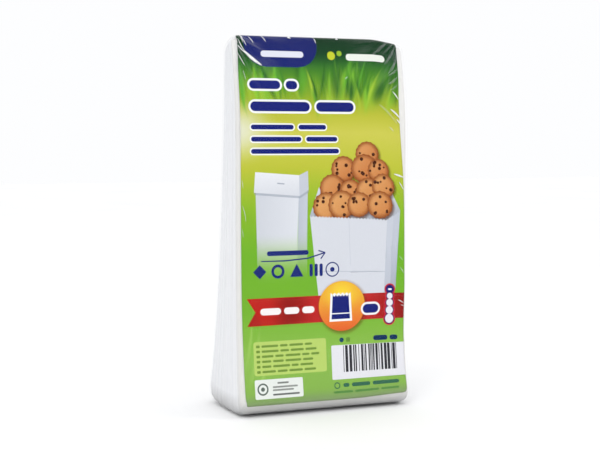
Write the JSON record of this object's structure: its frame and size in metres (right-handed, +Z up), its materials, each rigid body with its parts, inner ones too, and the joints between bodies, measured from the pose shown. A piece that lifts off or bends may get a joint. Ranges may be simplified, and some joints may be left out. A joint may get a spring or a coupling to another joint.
{
  "type": "wrapped pack of paper bags",
  "caption": "Upright film-wrapped block of stacked flat paper bags with a printed label sheet on its front, thick at the folded foot and thinner towards the top.",
  "frame": {"origin": "middle of the pack's bounding box at its underside, the surface it stands on", "axes": "+Z up along the pack's height, -Y out of the front face that carries the label, +X to the viewer's right when facing the label"},
  "size_m": [0.106, 0.0606, 0.215],
  "materials": {
    "bag_paper": "smooth white bleached paper, matt, seen through the film",
    "label_print": "coated paper printed in green, yellow, navy, red and orange, glossy under the film",
    "clear_film": "thin clear shrink film with fine creases at the corners"
  },
  "bodies": {
    "root": {"wrapped_bag_stack": "bag_paper", "label_sheet": "label_print"}
  },
  "joints": []
}
